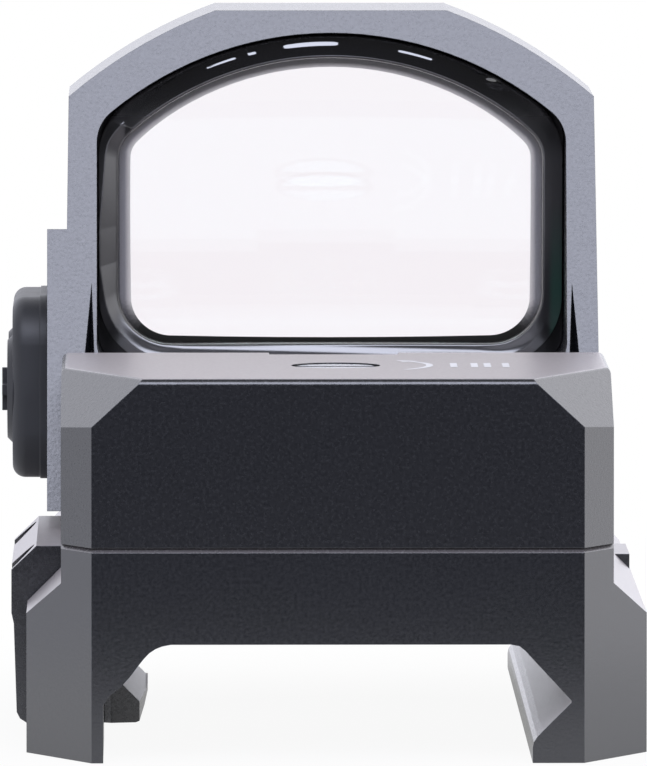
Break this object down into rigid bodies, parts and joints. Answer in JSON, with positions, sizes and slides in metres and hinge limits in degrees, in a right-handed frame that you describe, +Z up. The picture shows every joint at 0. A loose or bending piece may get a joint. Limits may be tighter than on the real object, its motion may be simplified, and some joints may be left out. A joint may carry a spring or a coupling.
{
  "type": "red dot reflex sight with rail mount",
  "caption": "Compact open reflex sight with an arched lens hood, side keypad and side battery tray, on a low clamp mount for a dovetail accessory rail.",
  "frame": {"origin": "on the centre line at the sight body's mid length, on the plane where the rail's top face seats", "axes": "+Y the way the sight looks, +X to the user's right, +Z up"},
  "size_m": [0.0297, 0.052, 0.033],
  "materials": {
    "anodised_body": "matt black hard anodised aluminium",
    "anodised_mount": "matt black hard anodised aluminium",
    "anodised_tray": "satin black anodised aluminium",
    "coated_glass": "clear glass with a thin reflective coating",
    "clear_glass": "clear window glass",
    "gloss_black": "gloss black ring",
    "black_sealant": "satin black sealant",
    "keypad_rubber": "matt black silicone rubber",
    "seal_rubber": "satin black rubber",
    "black_steel": "black oxide steel",
    "plain_steel": "ground steel",
    "spring_steel": "bright spring steel",
    "cell_can": "nickel plated can",
    "contact_brass": "gold plated leaf",
    "carriage_brass": "machined brass",
    "board": "green solder mask",
    "chip_plastic": "moulded component bodies",
    "led": "red diode chip"
  },
  "bodies": {
    "sight_and_mount": {"housing": "anodised_body", "objective_lens": "coated_glass", "lens_seal": "black_sealant", "lens_bezel": "gloss_black", "emitter_window": "clear_glass", "circuit_board": "board", "board_chips": "chip_plastic", "bottom_cover": "anodised_tray", "bottom_cover_screws": "black_steel", "battery_contacts": "contact_brass", "keypad_cover": "keypad_rubber", "keypad_board": "board", "switch_domes": "spring_steel", "elevation_spring": "spring_steel", "windage_spring": "spring_steel", "mount_base": "anodised_mount", "recoil_lug": "plain_steel", "body_screws": "black_steel", "recoil_pins": "plain_steel"},
    "elevation_stem": {"elevation_seal": "seal_rubber"},
    "elevation_screw": {"elevation_screw": "black_steel"},
    "elevation_carriage": {"elevation_slide": "carriage_brass"},
    "diode_slide": {"led_holder": "carriage_brass", "led_die": "led"},
    "windage_stem": {"windage_seal": "seal_rubber"},
    "windage_screw": {"windage_screw": "black_steel"},
    "battery_drawer": {"battery_tray": "anodised_tray", "battery": "cell_can", "tray_seal": "seal_rubber"},
    "tray_screw": {"tray_screw": "black_steel"},
    "rear_key": {"button_rear": "keypad_rubber"},
    "front_key": {"button_front": "keypad_rubber"},
    "jaw": {"clamp_jaw": "anodised_mount"},
    "rear_clamp_screw": {"clamp_screw_rear": "black_steel"},
    "front_clamp_screw": {"clamp_screw_front": "black_steel"}
  },
  "joints": [
    {"name": "elevation_screw_lift", "type": "slide", "parent": "sight_and_mount", "child": "elevation_stem", "axis": [0, 0, 1], "range_m": [-0.00025, 0.00025]},
    {"name": "elevation_screw_turn", "type": "hinge", "parent": "elevation_stem", "child": "elevation_screw", "pos_m": [0, -0.0105, 0.011], "axis": [0, 0, 1], "range_deg": [-225.5, 225.5]},
    {"name": "elevation_carriage_lift", "type": "slide", "parent": "sight_and_mount", "child": "elevation_carriage", "axis": [0, 0, 1], "range_m": [-0.00026, 0.00026], "deforming": ["elevation_spring"]},
    {"name": "diode_cross_slide", "type": "slide", "parent": "elevation_carriage", "child": "diode_slide", "axis": [1, 0, 0], "range_m": [-0.00026, 0.00026]},
    {"name": "windage_screw_shift", "type": "slide", "parent": "sight_and_mount", "child": "windage_stem", "axis": [1, 0, 0], "range_m": [-0.00025, 0.00025]},
    {"name": "windage_screw_turn", "type": "hinge", "parent": "windage_stem", "child": "windage_screw", "pos_m": [0.011, -0.0077, 0.0081], "axis": [1, 0, 0], "range_deg": [-225.5, 225.5]},
    {"name": "battery_tray_slide", "type": "slide", "parent": "sight_and_mount", "child": "battery_drawer", "axis": [1, 0, 0], "range_m": [0, 0.019]},
    {"name": "tray_screw_turn", "type": "hinge", "parent": "battery_drawer", "child": "tray_screw", "pos_m": [0.0115, 0, 0.0072], "axis": [1, 0, 0], "range_deg": [0, 1080]},
    {"name": "rear_key_press", "type": "slide", "parent": "sight_and_mount", "child": "rear_key", "axis": [1, 0, 0], "range_m": [0, 0.0003], "stiffness_N_per_m": 400},
    {"name": "front_key_press", "type": "slide", "parent": "sight_and_mount", "child": "front_key", "axis": [1, 0, 0], "range_m": [0, 0.0003], "stiffness_N_per_m": 400},
    {"name": "clamp_jaw_slide", "type": "slide", "parent": "sight_and_mount", "child": "jaw", "axis": [-1, 0, 0], "range_m": [0, 0.0022]},
    {"name": "rear_clamp_screw_turn", "type": "hinge", "parent": "jaw", "child": "rear_clamp_screw", "pos_m": [-0.0135, -0.0046, 0.0015], "axis": [-1, 0, 0], "range_deg": [0, 1761]},
    {"name": "front_clamp_screw_turn", "type": "hinge", "parent": "jaw", "child": "front_clamp_screw", "pos_m": [-0.0135, 0.0096, 0.0015], "axis": [-1, 0, 0], "range_deg": [0, 1761]}
  ],
  "couplings": [
    {"joint": "elevation_screw_turn", "follows": "elevation_screw_lift", "rad_per_m": 15708},
    {"joint": "elevation_carriage_lift", "follows": "elevation_screw_lift", "ratio": 1},
    {"joint": "windage_screw_turn", "follows": "windage_screw_shift", "rad_per_m": 15708},
    {"joint": "diode_cross_slide", "follows": "windage_screw_shift", "ratio": 1},
    {"joint": "rear_clamp_screw_turn", "follows": "clamp_jaw_slide", "rad_per_m": 13963},
    {"joint": "front_clamp_screw_turn", "follows": "clamp_jaw_slide", "rad_per_m": 13963}
  ]
}
